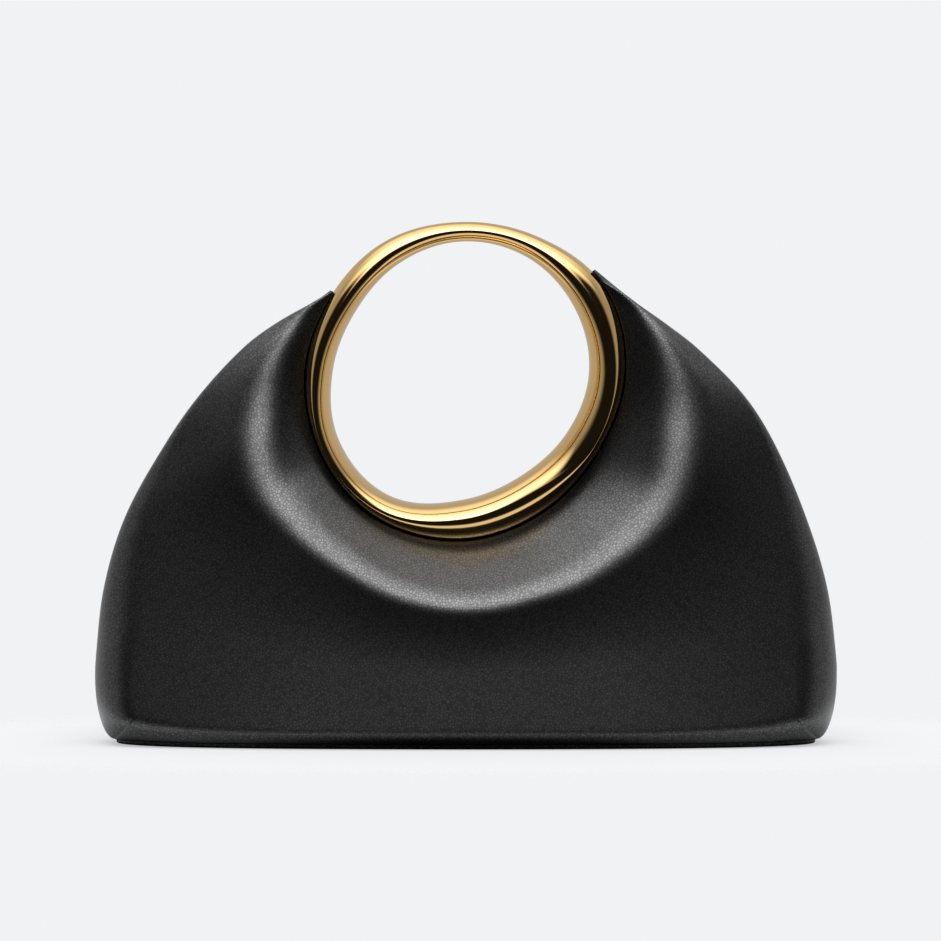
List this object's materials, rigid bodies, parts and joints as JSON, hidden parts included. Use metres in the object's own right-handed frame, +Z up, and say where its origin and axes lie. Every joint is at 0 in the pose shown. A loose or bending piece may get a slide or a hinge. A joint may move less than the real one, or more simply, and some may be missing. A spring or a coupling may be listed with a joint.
{
  "type": "half-moon clutch bag with ring handle",
  "caption": "Soft half-moon leather clutch bag: moulded panels gathered into a round ridge about a polished metal ring handle, on a flat base.",
  "frame": {"origin": "on the floor under the middle of the bag's base", "axes": "+X along the bag to the right seen from the front, +Y to the back, +Z up"},
  "size_m": [0.291, 0.0822, 0.2043],
  "materials": {
    "panel_leather": "black pebbled leather, semi-matte",
    "base_leather": "black pebbled leather, matte",
    "ring_metal": "mirror-polished yellow gold colour"
  },
  "bodies": {
    "root": {"front_panel": "panel_leather", "back_panel": "panel_leather", "base_panel": "base_leather", "ring_handle": "ring_metal"}
  },
  "joints": []
}
